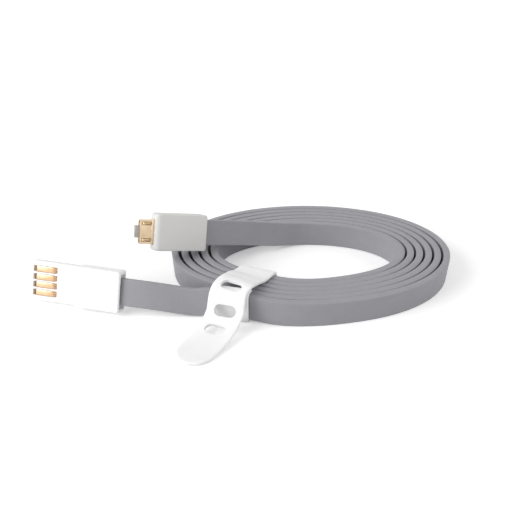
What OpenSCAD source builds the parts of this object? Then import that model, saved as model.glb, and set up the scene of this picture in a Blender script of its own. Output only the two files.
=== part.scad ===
// Flat USB-A to micro-USB charging cable, wound in an oval coil on its edge and held by a slotted strap.
// The origin is on the table at the middle of the coil: +X to the coil's right end, +Y to its back.

/* [Ribbon cable] */
// Width of the flat cable, which stands upright
ribbon_w = 7.6; // [6.5:0.1:9.5]
// Thickness of the flat cable
ribbon_t = 1.6; // [1.5:0.05:1.7]

/* [Coil] */
// Half length of the outermost turn, at the cable's middle
coil_half_length = 42.5; // [36:0.5:55]
// Half depth of the outermost turn, at the cable's middle
coil_half_depth = 28.5; // [24:0.5:40]
// Step from turn to turn at the coil's two ends
pitch_ends = 2.8; // [2.6:0.05:3.4]
// Step from turn to turn at the front, where the strap draws the turns together
pitch_front = 2.15; // [2.15:0.05:2.8]
// Step from turn to turn at the back
pitch_back = 2.25; // [2.2:0.05:3]
// How much the strap narrows the step from turn to turn where it holds them
strap_squeeze = 0.08; // [0:0.01:0.1]

/* [USB-A plug] */
// Length of the housing
usb_a_l = 13.2; // [12:0.2:22]
// Width of the housing
usb_a_w = 11.6; // [11.2:0.1:16]
// Thickness of the housing
usb_a_t = 4.6; // [4.4:0.1:7]
// Length of the tongue that goes into a socket
usb_a_tongue_l = 14.0; // [11:0.2:17]
// Width of the tongue
usb_a_tongue_w = 11.2; // [11:0.1:12]
// Thickness of the tongue
usb_a_tongue_t = 2.3; // [2:0.05:2.6]

/* [Micro-USB plug] */
// Length of the housing
micro_l = 16.0; // [15:0.2:24]
// Room for the housing beside the ribbon, on each of its edges
micro_side = 1.5; // [1.2:0.05:3]
// Thickness of the housing
micro_t = 4.8; // [4.6:0.1:7]
// Rounding of the housing's front end, on both wide faces
micro_front_round = 1.6; // [0.5:0.1:1.7]
// Length of the metal shell in front of the housing
micro_shell_l = 4.0; // [3.8:0.1:7]
// Width of the metal shell
micro_shell_w = 6.85; // [6.6:0.05:7.2]
// Thickness of the metal shell
micro_shell_t = 1.8; // [1.7:0.05:2.1]

/* [Strap] */
// Width of the strap
strap_w = 10.4; // [8:0.2:14]
// Thickness of the strap
strap_t = 1.0; // [0.9:0.05:1.4]
// Length of each fastening slot, across the strap
slot_l = 6.2; // [4.6:0.1:7]
// Width of each fastening slot, along the strap
slot_w = 3.2; // [2.8:0.1:3.6]

/* [Walls and clearances] */
// Wall of both plug housings
housing_wall = 0.9; // [0.7:0.05:1]
// Clearance between pieces of a plug
fit = 0.05; // [0.03:0.01:0.08]
// Clearance between the strap and the cable
strap_gap = 0.15; // [0.1:0.05:0.4]

/* [Hidden] */
$fn = 48;
eps = 0.01;

ribbon_grey = [0.60, 0.60, 0.63];
plug_white = [0.95, 0.95, 0.94];
strap_white = [0.97, 0.97, 0.97];
gold = [0.83, 0.62, 0.30];
steel = [0.66, 0.66, 0.68];
copper = [0.80, 0.50, 0.33];

// ---------------------------------------------------------------- vectors
function unit(v) = v / norm(v);
function flat(v) = [v[0], v[1], 0];
function turned(v, a) = [v[0] * cos(a) - v[1] * sin(a), v[0] * sin(a) + v[1] * cos(a), v[2]];
function heading(v) = atan2(v[1], v[0]);
function climb(v) = atan2(v[2], norm(flat(v)));
// Direction of a route at its point i
function along(p, i) = unit(p[min(i + 1, len(p) - 1)] - p[max(i - 1, 0)]);
// Distance of the point p from the stretch between a and b
function off_stretch(p, a, b) =
    let (d = b - a, k = max(0, min(1, (p - a) * d / (d * d)))) norm(p - a - k * d);

// ---------------------------------------------------------------- the strap's place on the coil
// The outermost turn starts at this angle, where its cable runs straight on to the USB-A plug
start_angle = -105;
// The innermost turn ends at this angle, at the coil's back, and climbs over the turns from there
end_angle = 5 * 360 + 75;
ring_step = 15;
// Straight run of the ribbon at both ends of the coil
end_run = 4;
pitch_depth = (pitch_front + pitch_back) / 2;
passes = 6;

function turns_at(a) = (a - start_angle) / 360;
function spiral_plan(a) = let (k = turns_at(a))
    [(coil_half_length - pitch_ends * k) * cos(a),
     (coil_half_depth - pitch_depth * k) * sin(a) + (pitch_front - pitch_back) / 2 * k, 0];
function spiral_direction(a) = unit(spiral_plan(a + 0.5) - spiral_plan(a - 0.5));

coil_start = spiral_plan(start_angle);
lead_a_direction = -spiral_direction(start_angle);
coil_end = spiral_plan(end_angle);
// The ribbon leaves the innermost turn a little inwards
leave_turn = 3;
lead_m_direction = turned(spiral_direction(end_angle), leave_turn);

// The strap is placed by [into the coil, along the cable to the right, up], from the outer face of the outermost pass.
// It wraps the bundle aslant: its width is turned by strap_turn where it lies under and over the turns.
strap_turn = 22;
strap_along_lead = 12;
cable_side = -lead_a_direction;
cable_inward = turned(cable_side, 90);
strap_origin = coil_start + lead_a_direction * strap_along_lead - cable_inward * ribbon_t / 2;
strap_side = turned(cable_side, -strap_turn);
// The turns rest on the strap where they cross it, and on the table elsewhere
strap_lift = strap_t + strap_gap;
lift_flat = strap_w / 2 + 1.8;
lift_run = 10;
squeeze_run = 14;
flare_run = 22;
// 1 beside the strap, falling to 0 over a run along the turns
function strap_nearness(p, run) =
    let (away = abs((p - strap_origin) * strap_side), k = (away - lift_flat) / run)
    p[1] > 0 ? 0 : k <= 0 ? 1 : k >= 1 ? 0 : (1 + cos(180 * k)) / 2;
function lift_at(p) = strap_lift * strap_nearness(p, lift_run);
// To the right of the strap the turns spread towards the front, by spread at the most
spread = 1.2;
spread_start = 4.5;
spread_rise = 9;
spread_fall = 24;
function spread_at(p) =
    let (s = (p - strap_origin) * cable_side - spread_start, k = s < spread_rise ? s / spread_rise - 1 : (s - spread_rise) / spread_fall)
    p[1] > 0 || abs(k) >= 1 ? 0 : spread * (1 + cos(180 * k)) / 2;
// Places of the turns, drawn together where the strap holds them; k counts the turns from the outermost
function drawn(p, k) =
    p - cable_inward * (strap_squeeze * k * strap_nearness(p, squeeze_run) + spread_at(p));
function coil_plan(a) = drawn(spiral_plan(a), turns_at(a));
// The turns flare outwards at the top, except where the strap holds them upright
flare = 5;
function lean_at(p) = flare * (1 - strap_nearness(p, flare_run));

// ---------------------------------------------------------------- ribbon sweep
corner = 0.45;
// Sections of the flat cable as [outward, up]: plain in the coil, with cut corners in the free leads
coil_section = [[ribbon_t / 2, 0], [ribbon_t / 2 - corner / 2, ribbon_w / 2], [-ribbon_t / 2 + corner / 2, ribbon_w / 2],
    [-ribbon_t / 2, 0], [-ribbon_t / 2 + corner / 2, -ribbon_w / 2], [ribbon_t / 2 - corner / 2, -ribbon_w / 2]];
lead_section = [for (q = [[1, 1], [-1, 1], [-1, -1], [1, -1]])
    for (c = q[0] * q[1] > 0 ? [[0, corner], [corner, 0]] : [[corner, 0], [0, corner]])
        [q[0] * (ribbon_t / 2 - c[0]), q[1] * (ribbon_w / 2 - c[1])]];

// One ring of the sweep: lean tips the ribbon's upper edge to the right of its direction of travel
function ring(section, p, d, lean) =
    let (up0 = unit([0, 0, 1] - d * d[2]), out0 = cross(d, up0),
         up = up0 * cos(lean) + out0 * sin(lean), out = cross(d, up))
    [for (q = section) p + out * q[0] + up * q[1]];

// Rings joined by triangles, closed at both ends
module skin(rings) {
    n = len(rings[0]);
    m = len(rings);
    polyhedron(
        points = [for (r = rings) each r],
        faces = concat(
            [for (i = [1 : n - 2]) [0, i, i + 1]],
            [for (i = [1 : n - 2]) [(m - 1) * n, (m - 1) * n + i + 1, (m - 1) * n + i]],
            [for (j = [0 : m - 2]) for (i = [0 : n - 1])
                let (a = j * n + i, b = j * n + (i + 1) % n) each [[a, a + n, b], [b, a + n, b + n]]]));
}

// ---------------------------------------------------------------- routes, all at the ribbon's middle
function stood(p) = let (lean = lean_at(p))
    p + [0, 0, ribbon_w / 2 * cos(lean) + (ribbon_t - corner) / 2 * sin(lean) + lift_at(p)];
coil_angles = [for (a = [start_angle : ring_step : end_angle]) a];
coil_route = concat(
    [stood(drawn(coil_start + lead_a_direction * end_run, 0))],
    [for (a = coil_angles) stood(coil_plan(a))],
    [stood(coil_end + lead_m_direction * end_run)]);

// Free leads, as [forward, to the left, share of the climb] from the coil's last ring, and their lean
usb_a_lean = 22;
lead_a_points = [[0, 0, 0], [4, -0.7, 0.05], [8, -1.05, 0.12], [12, -1.35, 0.15], [14.5, -1.35, 0.05], [18, -0.9, -0.45],
    [22, -0.35, -0.35], [26.5, 0.5, 0.2], [31, 1.15, 0.75], [36, 1.35, 1], [41.1, 0.95, 1]];
lead_a_lean = [0, 4, 9, 14, 17, 20, 21, 22, 22, 22, 22];
micro_lean = 18;
lead_m_points = [[0, 0, 0], [3.5, 0.3, 0.01], [7, 1.3, 0.04], [10.5, 3.2, 0.1], [14, 5.7, 0.21], [18, 9, 0.38],
    [22, 12.3, 0.55], [26, 15.4, 0.7], [30, 18.4, 0.84], [35.3, 21.7, 1]];
lead_m_lean = [flare, 5, 6, 8, 10, 13, 15, 17, 18, 18];

// The USB-A plug stands on the long edge of its leaning housing; the micro-USB lead climbs over the turns
usb_a_height = usb_a_w / 2 * cos(usb_a_lean) + usb_a_t / 2 * sin(usb_a_lean);
climb_a = usb_a_height - coil_route[0][2];
climb_m = ribbon_w + 2.7;
micro_w = ribbon_w + 2 * micro_side;
function lead_route(start, d, points, climb) =
    let (left = turned(d, 90)) [for (q = points) start + d * q[0] + left * q[1] + [0, 0, climb * q[2]]];
lead_a_route = lead_route(coil_route[0], lead_a_direction, lead_a_points, climb_a);
lead_m_route = lead_route(coil_route[len(coil_route) - 1], lead_m_direction, lead_m_points, climb_m);

// Poses of the two plugs at the leads' ends
usb_a_direction = along(lead_a_route, len(lead_a_route) - 1);
micro_direction = along(lead_m_route, len(lead_m_route) - 1);
ribbon_inside = 2.8;
usb_a_pose = [lead_a_route[len(lead_a_route) - 1], [usb_a_lean, -climb(usb_a_direction), heading(usb_a_direction)]];
micro_pose = [lead_m_route[len(lead_m_route) - 1], [micro_lean, -climb(micro_direction), heading(micro_direction)]];
module at_usb_a() { translate(usb_a_pose[0]) rotate(usb_a_pose[1]) translate([-ribbon_inside, 0, 0]) children(); }
module at_micro() { translate(micro_pose[0]) rotate(micro_pose[1]) translate([-ribbon_inside, 0, 0]) children(); }

// ---------------------------------------------------------------- ribbon pieces
function coil_ring(i) = ring(coil_section, coil_route[i], along(coil_route, i), lean_at(coil_route[i]));
coil_rings = [for (i = [0 : len(coil_route) - 1]) coil_ring(i)];
rings_per_turn = 360 / ring_step;
last_ring = len(coil_rings) - 1;
// Least gap between neighbouring turns: inner face of each turn to the outer face of the next one inwards,
// at the mid-height, top and bottom of their sections
face_pairs = [[3, 0], [2, 1], [4, 5]];
turn_gaps = [for (i = [0 : last_ring - 1]) for (j = [i + rings_per_turn - 4 : min(i + rings_per_turn + 4, last_ring) - 1])
    for (q = face_pairs)
        min(off_stretch(coil_rings[i][q[0]], coil_rings[j][q[1]], coil_rings[j + 1][q[1]]),
            off_stretch(coil_rings[j + 1][q[1]], coil_rings[i][q[0]], coil_rings[i + 1][q[0]]))];
echo(least_gap_between_turns_mm = min(turn_gaps));
function route_length(p) = [for (i = [0 : len(p) - 2]) norm(p[i + 1] - p[i])] * [for (i = [0 : len(p) - 2]) 1];
echo(ribbon_length_mm = route_length(coil_route) + route_length(lead_a_route) + route_length(lead_m_route));

module ribbon_coil() {
    color(ribbon_grey) skin(coil_rings);
}

module ribbon_lead(route, lean, first_direction) {
    last = len(route) - 1;
    color(ribbon_grey)
        skin([for (i = [0 : last]) ring(lead_section, route[i], i == 0 ? first_direction : along(route, i), lean[i])]);
}

module ribbon_lead_usb_a() {
    ribbon_lead(lead_a_route, lead_a_lean, -along(coil_route, 0));
}

module ribbon_lead_micro_usb() {
    ribbon_lead(lead_m_route, lead_m_lean, along(coil_route, len(coil_route) - 1));
}

// ---------------------------------------------------------------- shared plug shapes
// Plug pieces are drawn with the nose along +X, the wide face towards +Y and the width along Z.
module block(x0, x1, thick, wide) {
    translate([x0, -thick / 2, -wide / 2]) cube([x1 - x0, thick, wide]);
}

module rounded_outline(l, w, r) {
    translate([0, r]) square([l, w - 2 * r]);
    translate([r, 0]) square([l - 2 * r, w]);
    for (x = [r, l - r]) for (y = [r, w - r]) translate([x, y]) circle(r);
}

// Side view of a housing whose front end is rounded on both wide faces
module round_nosed_outline(l, t, r) {
    translate([-1, -t / 2]) square([l + 1 - r, t]);
    translate([-1, -t / 2 + r]) square([l + 1, t - 2 * r]);
    for (y = [-t / 2 + r, t / 2 - r]) translate([l - r, y]) circle(r);
}

// Half of a plug housing: side is 1 for the front half and -1 for the back half. The rear and front openings are
// [thick, wide].
module housing_half(l, w, t, front_round, rear, front, side) {
    housing_corner = 0.7;
    difference() {
        intersection() {
            translate([0, side > 0 ? t / 2 : 0, -w / 2]) rotate([90, 0, 0])
                linear_extrude(t / 2) rounded_outline(l, w, housing_corner);
            translate([0, 0, -w / 2 - 1]) linear_extrude(w + 2) round_nosed_outline(l, t, front_round);
        }
        block(housing_wall, l - housing_wall, t - 2 * housing_wall, w - 2 * housing_wall);
        block(-1, l / 2, rear[0], rear[1]);
        block(l / 2, l + 1, front[0] + 2 * fit, front[1] + 2 * fit);
    }
}

// Collar inside a housing that grips the end of the ribbon, from x0 to x1
module ribbon_collar(x0, x1, w, t) {
    difference() {
        block(x0, x1, t - 2 * housing_wall - 2 * fit, w - 2 * housing_wall - 2 * fit);
        block(-1, 6, ribbon_t + 2 * fit, ribbon_w + 2 * fit);
    }
}

// Straight round wire from a to b
module wire(a, b, r) {
    d = b - a;
    translate(a) rotate([0, 90 - climb(d), heading(d)]) cylinder(r = r, h = norm(d), $fn = 24);
}

// Places of the four cores across the ribbon's width, top to bottom
core_z = [2.9, 1.0, -1.0, -2.9];
wire_gap = 0.1;

// ---------------------------------------------------------------- USB-A plug
usb_a_pin_z = [3.4, 1.1, -1.1, -3.4];
usb_a_pin_w = 1.7;
usb_a_pin_y = [0.55, 0.85];
usb_a_pad_l = 6.6;
usb_a_pad_edge = 1.4;
usb_a_neck_w = usb_a_w - 2 * housing_wall - 0.8;
usb_a_tongue_rear = usb_a_l - 5.4;
usb_a_tail_rear = usb_a_tongue_rear - 1.5;
usb_a_tip = usb_a_l + usb_a_tongue_l;
usb_a_pad_end = usb_a_tip - usb_a_pad_edge;
usb_a_wire_r = 0.38;
usb_a_wire_end = usb_a_tail_rear + 0.9;

// The rear of this housing is open as wide as its hollow and closed by the grommet
usb_a_front_round = 0.3;
module usb_a_housing_half(side) {
    color(plug_white) at_usb_a()
        housing_half(usb_a_l, usb_a_w, usb_a_t, usb_a_front_round,
            [usb_a_t - 2 * housing_wall, usb_a_w - 2 * housing_wall], [usb_a_tongue_t, usb_a_neck_w], side);
}

module usb_a_housing_front() {
    usb_a_housing_half(1);
}

module usb_a_housing_back() {
    usb_a_housing_half(-1);
}

// White tongue with four open grooves at its tip and four tunnels behind them
module usb_a_tongue() {
    flange_l = 1.4;
    tip_corner = 0.6;
    color(plug_white) at_usb_a() difference() {
        union() {
            translate([usb_a_l, usb_a_tongue_t / 2, -usb_a_tongue_w / 2]) rotate([90, 0, 0])
                linear_extrude(usb_a_tongue_t) rounded_outline(usb_a_tongue_l, usb_a_tongue_w, tip_corner);
            block(usb_a_tongue_rear, usb_a_l + 1, usb_a_tongue_t, usb_a_neck_w);
            block(usb_a_l - housing_wall - fit - flange_l, usb_a_l - housing_wall - fit,
                usb_a_t - 2 * housing_wall - 2 * fit, usb_a_w - 2 * housing_wall - 2 * fit);
        }
        for (z = usb_a_pin_z) {
            translate([usb_a_tongue_rear - 1, usb_a_pin_y[0] - fit, z - usb_a_pin_w / 2 - fit])
                cube([usb_a_pad_end + fit - usb_a_tongue_rear + 1, usb_a_pin_y[1] - usb_a_pin_y[0] + 2 * fit, usb_a_pin_w + 2 * fit]);
            translate([usb_a_pad_end - usb_a_pad_l, usb_a_pin_y[0], z - usb_a_pin_w / 2 - fit])
                cube([usb_a_pad_l + fit, usb_a_tongue_t, usb_a_pin_w + 2 * fit]);
        }
    }
}

module usb_a_contact(i) {
    color(gold) at_usb_a() translate([usb_a_tail_rear, usb_a_pin_y[0], usb_a_pin_z[i] - usb_a_pin_w / 2])
        cube([usb_a_pad_end - usb_a_tail_rear, usb_a_pin_y[1] - usb_a_pin_y[0], usb_a_pin_w]);
}

module usb_a_wire(i, jacket) {
    wire_y = usb_a_pin_y[0] - usb_a_wire_r;
    color(jacket) at_usb_a()
        wire([ribbon_inside + wire_gap, wire_y, core_z[i]], [usb_a_wire_end, wire_y, usb_a_pin_z[i]], usb_a_wire_r);
}

// Quarter-round fillets of solder between each wire's end and the tail of its contact
module solder_fillet(x, y, z, r, w) {
    translate([x, y, z - w / 2]) intersection() {
        cylinder(r = r, h = w, $fn = 24);
        translate([0, -r, 0]) cube([r, r, w]);
    }
}

module usb_a_solder_joints() {
    color(steel) at_usb_a() for (z = usb_a_pin_z)
        solder_fillet(usb_a_wire_end + wire_gap, usb_a_pin_y[0], z, 0.5, 0.9);
}

// Soft grey grommet that fills the housing's rear end round the ribbon
module usb_a_rear_grommet() {
    grommet_inset = 0.2;
    grommet_l = 2.4;
    color(ribbon_grey) at_usb_a() ribbon_collar(grommet_inset, grommet_inset + grommet_l, usb_a_w, usb_a_t);
}

// ---------------------------------------------------------------- micro-USB plug
micro_pin_z = [1.3, 0.65, -0.65, -1.3];
micro_id_z = 0;
micro_pin_w = 0.36;
micro_pin_y = [-0.55, -0.35];
micro_shell_wall = 0.25;
micro_block_rear = micro_l - 6.2;
micro_block_front = micro_l - 2.4;
micro_tail_rear = micro_block_rear - 1.5;
micro_shell_front = micro_l + micro_shell_l;
micro_nose_l = 1.3;
micro_nose_w = 3.4;
micro_nose_t = 1.0;
micro_wire_r = 0.29;
micro_wire_end = micro_tail_rear + 0.7;
latch_z = micro_shell_w / 2 - 1.075;
latch_w = 0.7;
latch_t = 0.2;
latch_y = 0.42;
latch_root = micro_block_front + 0.3;
latch_tip = micro_shell_front - 0.55;
latch_hook_l = 0.95;
latch_hook_rise = 0.3;
latch_window_gap = 0.12;
micro_flange_l = 0.5;
latch_window_rear = micro_l + fit + micro_flange_l + 0.1;

// Section of the shell as [across, thick]: the two corners away from the latches are cut
function shell_outline(inset) =
    let (w = micro_shell_w / 2 - inset, t = micro_shell_t / 2 - inset, cut = 0.75 - inset * 0.4)
    [[-w, t], [w, t], [w, -t + cut], [w - cut, -t], [-w + cut, -t], [-w, -t + cut]];

// Straight length of the shell's outline, drawn in to inset, between two places along X
module shell_bar(x0, x1, inset) {
    translate([x0, 0, 0]) rotate([90, 0, 90])
        linear_extrude(x1 - x0) polygon([for (q = shell_outline(inset)) [q[1], q[0]]]);
}

module micro_usb_housing_half(side) {
    color(plug_white) at_micro()
        housing_half(micro_l, micro_w, micro_t, micro_front_round,
            [ribbon_t + 4 * fit, ribbon_w + 4 * fit], [micro_shell_t, micro_shell_w], side);
}

module micro_usb_housing_front() {
    micro_usb_housing_half(1);
}

module micro_usb_housing_back() {
    micro_usb_housing_half(-1);
}

// Gilt steel shell with a base flange and a window over each latch
module micro_usb_shell() {
    flange_out = 0.22;
    color(gold) at_micro() difference() {
        union() {
            shell_bar(micro_block_front + fit, micro_shell_front, 0);
            shell_bar(micro_l + fit, micro_l + fit + micro_flange_l, -flange_out);
        }
        shell_bar(micro_block_front - 1, micro_shell_front + 1, micro_shell_wall);
        for (z = [latch_z, -latch_z])
            translate([latch_window_rear, 0, z - latch_w / 2 - latch_window_gap])
                cube([latch_tip + latch_window_gap - latch_window_rear, micro_shell_t, latch_w + 2 * latch_window_gap]);
    }
}

// Contact carrier: a rear block in the housing, a bar inside the shell and a narrow nose
module micro_usb_insulator() {
    latch_room = 0.55;
    color([0.35, 0.34, 0.34]) at_micro() difference() {
        union() {
            block(micro_block_rear, micro_block_front, micro_t - 2 * housing_wall - 2 * fit, micro_w - 2 * housing_wall - 2 * fit);
            shell_bar(micro_block_front - eps, micro_shell_front - 0.2, micro_shell_wall + fit);
            block(micro_shell_front - 1, micro_shell_front + micro_nose_l, micro_nose_t, micro_nose_w);
        }
        for (z = [latch_z, -latch_z])
            translate([latch_root - 0.15, latch_y - latch_room, z - latch_w / 2 - 0.15])
                cube([micro_shell_l + 6, micro_t, latch_w + 0.3]);
        for (z = concat(micro_pin_z, [micro_id_z]))
            translate([micro_block_rear - 1, -micro_shell_t / 2, z - micro_pin_w / 2 - fit])
                cube([micro_shell_front + 1.2 - micro_block_rear, micro_pin_y[1] + fit + micro_shell_t / 2, micro_pin_w + 2 * fit]);
    }
}

module micro_usb_contact(z) {
    color(gold) at_micro() translate([micro_tail_rear, micro_pin_y[0], z - micro_pin_w / 2])
        cube([micro_shell_front - micro_tail_rear, micro_pin_y[1] - micro_pin_y[0], micro_pin_w]);
}

// Sprung arm with a hook that stands out of the shell's window: side is 1 for the upper and -1 for the lower
module micro_usb_latch(side) {
    hook_top = micro_shell_t / 2 + latch_hook_rise;
    arm_top = latch_y + latch_t;
    color(steel) at_micro() translate([0, 0, side * latch_z - latch_w / 2])
        linear_extrude(latch_w) polygon([
            [latch_root, latch_y], [latch_tip, latch_y], [latch_tip, arm_top + 0.1],
            [latch_tip - 0.45, hook_top], [latch_tip - latch_hook_l, hook_top],
            [latch_tip - latch_hook_l, arm_top], [latch_root, arm_top]]);
}

module micro_usb_wire(i, jacket) {
    wire_y = micro_pin_y[1] + micro_wire_r;
    color(jacket) at_micro()
        wire([ribbon_inside + wire_gap, wire_y, core_z[i]], [micro_wire_end, wire_y, micro_pin_z[i]], micro_wire_r);
}

module micro_usb_solder_joints() {
    color(steel) at_micro() for (z = micro_pin_z)
        translate([0, 0, z]) mirror([0, 1, 0]) solder_fillet(micro_wire_end + wire_gap, -micro_pin_y[1], 0, 0.4, 0.5);
}

module micro_usb_cable_clamp() {
    clamp_l = 1.6;
    color(steel) at_micro() ribbon_collar(housing_wall + fit, housing_wall + fit + clamp_l, micro_w, micro_t);
}

// ---------------------------------------------------------------- strap
// Depth of the bundle of passes where the strap crosses it, and height of its top
bundle = (passes - 1) * pitch_front + ribbon_t + 0.6;
bundle_top = ribbon_w + strap_lift;
strap_low = strap_t / 2;
strap_out = -strap_gap - strap_t / 2;
strap_over = bundle_top + strap_gap + strap_t / 2;
hinge_room = strap_t / 2 + 0.3;

// Stations of the strap's middle line as [in, along, up], with the turn of its width.
function aslant(d, h) = [d, d * tan(strap_turn), h];
inner_turn = 13;
// The band and the tail meet on top of the bundle, where the strap bends when its tail is lifted
crest = aslant(4.6, strap_over + 1.3);
before_crest = aslant(6.6, strap_over + 1.1);
// The band: head end, down the front, under the bundle, up in the hole and over the top to the crest
band_line = [
    [strap_out, 0, strap_over - 2.1], [strap_out, 0, bundle_top * 0.5], [strap_out, 0, strap_lift + 0.25],
    [strap_out + 0.25, 0.05, strap_low + 0.27], [strap_out + 0.9, 0.2, strap_low], [4, 1.4, strap_low],
    aslant(8, strap_low), aslant(bundle, strap_low), aslant(bundle + 1.4, strap_low + 0.5),
    aslant(bundle + 2.1, strap_low + 1.8), aslant(bundle + 2.1, bundle_top / 2), aslant(bundle + 1.9, bundle_top - 1.1),
    aslant(bundle + 1.4, bundle_top + 0.2), aslant(bundle + 0.2, strap_over + 0.1), aslant(bundle - 1.8, strap_over + 0.45),
    aslant(bundle - 4.2, strap_over + 0.85), before_crest, crest + unit(before_crest - crest) * hinge_room];
band_turn = [0, 0, 0, 2, 5, 15, 20, 20, inner_turn, for (i = [9 : 12]) inner_turn, 16, 18, 20, for (i = [16 : 17]) strap_turn];
// The tail: from the crest down the front to its round tip on the table
tail_last = [strap_out - 16.2, -6, strap_low + 0.15];
tail_tip = [strap_out - 19.9, -8.2, strap_low];
tip_steps = [3.2, 2.2, 1.2, 0.5, 0.1];
tail_line = [crest, aslant(2.8, strap_over + 1.5), [0.9, 0.3, strap_over + 1.2], [strap_out + 0.2, -0.1, strap_over + 0.7],
    [strap_out - 1.05, -0.3, strap_over - 0.2], [strap_out - 1.8, -0.4, strap_over - 1.65], [strap_out - 2.15, -0.5, strap_over - 3],
    [strap_out - 2.6, -0.6, strap_over - 4.2], [strap_out - 3.8, -1, strap_low + 3.3], [strap_out - 5.6, -1.5, strap_low + 2.25],
    [strap_out - 7.8, -2.2, strap_low + 1.5], [strap_out - 10, -3, strap_low + 0.95], [strap_out - 13, -4.3, strap_low + 0.45],
    tail_last, for (d = tip_steps) tail_tip + unit(tail_last - tail_tip) * d];
tail_turn = [strap_turn, 21, 18, 14, 11, 8, 6, 6, 7, 9, 12, 16, 20, 25, for (d = tip_steps) 28];
tail_slots = [2, 7, 10];
// Share of the strap's width at a station, less than 1 in the round tip
function tip_share(q) = let (d = norm(q - tail_tip), r = strap_w / 2) d < r ? sqrt(1 - pow(1 - d / r, 2)) : 1;

// Centre, direction, width and thickness axes of the strap at a station
function strap_point(q) = strap_origin + cable_inward * q[0] + cable_side * q[1] + [0, 0, q[2]];
function strap_station(line, turns, i) =
    let (p = [for (q = line) strap_point(q)], wide = turned(cable_side, -turns[i]), thick = unit(cross(along(p, i), wide)))
    [p[i], cross(wide, thick), wide, thick];
function strap_ring(t, share) = [for (q = [[1, 1], [-1, 1], [-1, -1], [1, -1]])
    t[0] + t[3] * q[0] * strap_t / 2 + t[2] * q[1] * strap_w / 2 * share];
module strap_strip(line, turns) {
    skin([for (i = [0 : len(line) - 1]) strap_ring(strap_station(line, turns, i), tip_share(line[i]))]);
}

// Places a shape at a station: X along the strap, Y across it and Z through it
module at_strap(t) {
    multmatrix([for (k = [0 : 2]) [t[1][k], t[2][k], t[3][k], t[0][k]]]) children();
}

// Stadium-shaped cutter of a fastening slot
module slot_cutter() {
    depth = 3 * strap_t;
    translate([0, 0, -depth / 2]) linear_extrude(depth) {
        square([slot_w, slot_l - slot_w], center = true);
        for (s = [-1, 1]) translate([0, s * (slot_l - slot_w) / 2]) circle(slot_w / 2);
    }
}

module strap_band() {
    color(strap_white) strap_strip(band_line, band_turn);
}

module strap_tail() {
    color(strap_white) difference() {
        strap_strip(tail_line, tail_turn);
        for (i = tail_slots) at_strap(strap_station(tail_line, tail_turn, i)) slot_cutter();
    }
}

// ---------------------------------------------------------------- assembly
ribbon_coil();
ribbon_lead_usb_a();
ribbon_lead_micro_usb();
usb_a_housing_front();
usb_a_housing_back();
usb_a_tongue();
usb_a_contact(0);  // usb_a_contact_power
usb_a_contact(1);  // usb_a_contact_data_minus
usb_a_contact(2);  // usb_a_contact_data_plus
usb_a_contact(3);  // usb_a_contact_ground
usb_a_wire(0, "red");  // usb_a_wire_red
usb_a_wire(1, "white");  // usb_a_wire_white
usb_a_wire(2, "green");  // usb_a_wire_green
usb_a_wire(3, "black");  // usb_a_wire_black
usb_a_solder_joints();
usb_a_rear_grommet();
micro_usb_housing_front();
micro_usb_housing_back();
micro_usb_shell();
micro_usb_insulator();
micro_usb_contact(micro_pin_z[0]);  // micro_usb_contact_power
micro_usb_contact(micro_pin_z[1]);  // micro_usb_contact_data_minus
micro_usb_contact(micro_pin_z[2]);  // micro_usb_contact_data_plus
micro_usb_contact(micro_id_z);  // micro_usb_contact_id
micro_usb_contact(micro_pin_z[3]);  // micro_usb_contact_ground
micro_usb_latch(1);  // micro_usb_latch_upper
micro_usb_latch(-1);  // micro_usb_latch_lower
micro_usb_wire(0, "red");  // micro_usb_wire_red
micro_usb_wire(1, "white");  // micro_usb_wire_white
micro_usb_wire(2, "green");  // micro_usb_wire_green
micro_usb_wire(3, "black");  // micro_usb_wire_black
micro_usb_solder_joints();
micro_usb_cable_clamp();
strap_band();
strap_tail();
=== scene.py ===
"""Looks of a flat charging cable, wound in an oval coil on its edge and held by a slotted strap.

Laid out as an add-on and run as a script. Lengths are in metres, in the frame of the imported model.
"""

from math import atan, atan2, cos, dist, hypot, pi, radians, sin, sqrt, tan

import bmesh
import bpy
from bpy.props import FloatProperty, FloatVectorProperty, PointerProperty
from mathutils import Matrix, Vector


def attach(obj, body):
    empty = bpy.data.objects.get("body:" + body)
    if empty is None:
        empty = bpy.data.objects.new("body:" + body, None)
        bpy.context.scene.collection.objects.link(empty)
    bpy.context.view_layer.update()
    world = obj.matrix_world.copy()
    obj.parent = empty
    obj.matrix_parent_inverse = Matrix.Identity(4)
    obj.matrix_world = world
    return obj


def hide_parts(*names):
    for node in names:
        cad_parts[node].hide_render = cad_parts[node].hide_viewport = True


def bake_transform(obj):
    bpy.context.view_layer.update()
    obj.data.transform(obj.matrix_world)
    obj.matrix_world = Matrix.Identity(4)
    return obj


bl_info = {
    "name": "Flat charging cable",
    "version": (1, 0, 0),
    "blender": (4, 5, 0),
    "location": "View3D > Sidebar > Cable",
    "description": "Ribbon, plugs and strap of a coiled charging cable, with their finishes",
    "category": "Add Mesh",
}

MM = 0.001
UP = Vector((0, 0, 1))

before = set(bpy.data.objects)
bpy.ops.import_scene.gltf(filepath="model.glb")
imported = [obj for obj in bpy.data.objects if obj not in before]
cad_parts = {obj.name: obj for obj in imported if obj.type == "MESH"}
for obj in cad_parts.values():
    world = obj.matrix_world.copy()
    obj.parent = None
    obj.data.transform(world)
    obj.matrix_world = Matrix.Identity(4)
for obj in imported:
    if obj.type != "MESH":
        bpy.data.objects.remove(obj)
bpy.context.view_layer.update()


# ------ settings
def length(name, mm, description):
    return FloatProperty(name=name, description=description, default=mm * MM, unit="LENGTH", precision=5)


def colour(name, rgb, description):
    return FloatVectorProperty(
        name=name, description=description, default=rgb, size=3, subtype="COLOR", min=0, max=1,
    )


def amount(name, value, description, unit="NONE"):
    return FloatProperty(name=name, description=description, default=value, min=0, unit=unit)


def group(name, kind, description):
    return PointerProperty(name=name, type=kind, description=description)


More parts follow.
